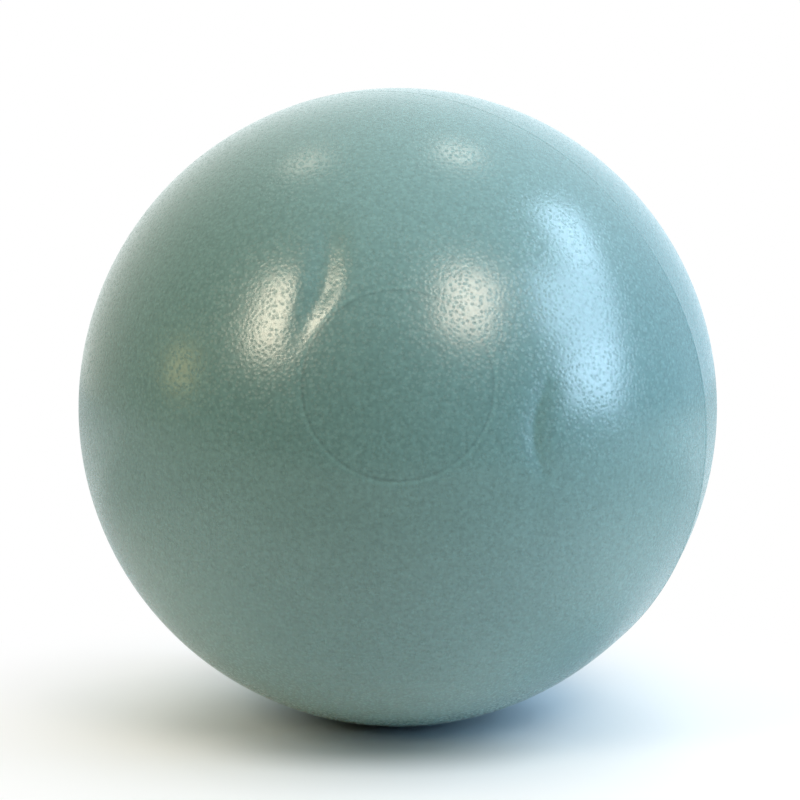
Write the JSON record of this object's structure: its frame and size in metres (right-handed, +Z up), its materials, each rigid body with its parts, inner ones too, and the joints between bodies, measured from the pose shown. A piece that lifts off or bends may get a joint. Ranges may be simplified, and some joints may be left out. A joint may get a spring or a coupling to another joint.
{
  "type": "pilates ball",
  "caption": "Small inflatable exercise ball of soft grained vinyl with a sunken round panel, a fine moulding seam and a plug valve at the back.",
  "frame": {"origin": "middle of the flat that the ball stands on", "axes": "+Z up, -Y out through the front, where the sunken panel looks, +X to the right seen from the front"},
  "size_m": [0.2498, 0.2495, 0.249],
  "materials": {
    "skin_vinyl": "soft vinyl, satin with a fine orange-peel grain",
    "sleeve_vinyl": "soft vinyl, smooth and satin",
    "plug_plastic": "milky soft polyethylene, smooth and satin"
  },
  "bodies": {
    "ball": {"ball_skin": "skin_vinyl", "valve_sleeve": "sleeve_vinyl"},
    "plug": {"valve_plug": "plug_plastic"}
  },
  "joints": [
    {"name": "plug_pull", "type": "slide", "parent": "ball", "child": "plug", "axis": [0, 0.9903, -0.1392], "range_m": [0, 0.025]}
  ]
}
